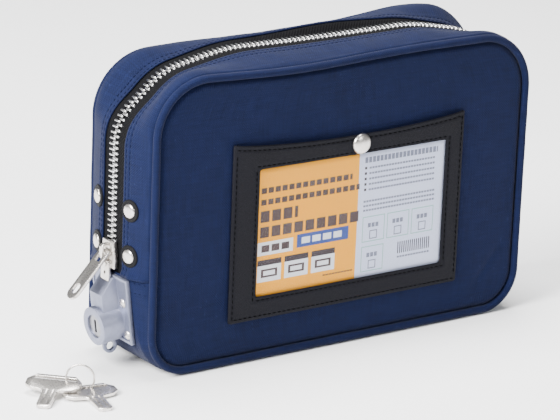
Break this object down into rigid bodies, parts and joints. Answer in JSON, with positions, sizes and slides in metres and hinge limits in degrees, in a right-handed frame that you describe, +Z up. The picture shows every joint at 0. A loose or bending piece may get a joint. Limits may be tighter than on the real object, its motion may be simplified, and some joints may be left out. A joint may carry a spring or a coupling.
{
  "type": "cash deposit bag",
  "caption": "Lockable canvas cash bag: zip round three sides, key lock on one end, piped edges, clear card pocket with a snap, and keys on a ring.",
  "frame": {"origin": "on the floor under the middle of the bag's base", "axes": "+Z up; the front panel with the window pocket faces -Y; the lock and the slider are on the -X end"},
  "size_m": [0.3778, 0.1019, 0.1976],
  "materials": {
    "canvas": "plain woven canvas",
    "black_webbing": "woven tape",
    "faux_leather": "grained, semi-gloss",
    "clear_film": "clear flexible film",
    "card": "printed card",
    "zip_metal": "polished",
    "lock_casting": "satin silver over a zinc casting",
    "steel_plate": "zinc plated",
    "nickel": "bright nickel plate",
    "board": "matte"
  },
  "bodies": {
    "bag": {"rear_panel": "canvas", "rear_piping": "canvas", "rear_zip_strip": "canvas", "rear_zip_tape": "black_webbing", "rear_zip_teeth": "zip_metal", "rear_reinforcement": "black_webbing", "rear_gusset_rivets": "nickel", "rear_rivet_washers": "black_webbing", "zip_end_stop": "zip_metal", "bottom_gusset": "canvas", "seam_bindings": "black_webbing", "base_board": "board", "front_panel_foot": "canvas", "front_piping_foot": "canvas", "pocket_frame_foot": "faux_leather", "pocket_window_foot": "clear_film", "insert_card_foot": "card", "lock_housing": "lock_casting", "lock_tail": "lock_casting", "lock_backing_plate": "steel_plate", "lock_rivets": "nickel", "seal_eye": "lock_casting"},
    "front_cover": {"front_panel": "canvas", "front_piping": "canvas", "front_zip_strip": "canvas", "front_zip_tape": "black_webbing", "front_zip_teeth": "zip_metal", "front_reinforcement": "black_webbing", "front_gusset_rivets": "nickel", "front_rivet_washers": "black_webbing", "pocket_frame": "faux_leather", "pocket_window": "clear_film", "insert_card": "card", "snap_cap": "nickel", "snap_socket": "nickel", "snap_stud": "nickel", "snap_post": "nickel"},
    "slider": {"slider_top_plate": "nickel", "slider_bottom_plate": "nickel", "slider_bridge": "nickel", "lock_tongue": "nickel", "tongue_rivet": "nickel"},
    "pull": {"pull_tab": "nickel"},
    "plug": {"lock_plug": "nickel"},
    "ring": {"key_ring": "nickel"},
    "key_left": {"left_key": "nickel"},
    "key_right": {"right_key": "nickel"}
  },
  "joints": [
    {"name": "cover_hinge", "type": "hinge", "parent": "bag", "child": "front_cover", "pos_m": [0, -0.0383, 0.063], "axis": [1, 0, 0], "range_deg": [0, 65]},
    {"name": "slider_slide", "type": "slide", "parent": "bag", "child": "slider", "axis": [0, 0, 1], "range_m": [0, 0.06], "deforming": ["rear_zip_teeth", "front_zip_teeth"]},
    {"name": "pull_swing", "type": "hinge", "parent": "slider", "child": "pull", "pos_m": [-0.1556, 0, 0.0763], "axis": [0, 1, 0], "range_deg": [0, 130]},
    {"name": "plug_turn", "type": "hinge", "parent": "bag", "child": "plug", "pos_m": [-0.14643, 0, 0.03058], "axis": [-0.9914, 0, -0.1305], "range_deg": [0, 90]},
    {"name": "keys_slide", "type": "slide", "parent": "bag", "child": "ring", "axis": [-1, 0, 0], "range_m": [0, 0.05]},
    {"name": "left_key_swing", "type": "hinge", "parent": "ring", "child": "key_left", "pos_m": [-0.19626, -0.02452, 0.006], "axis": [0, 0, 1], "range_deg": [-5, 5]},
    {"name": "right_key_swing", "type": "hinge", "parent": "ring", "child": "key_right", "pos_m": [-0.18577, -0.03286, 0.003], "axis": [0, 0, 1], "range_deg": [-3, 3]}
  ]
}
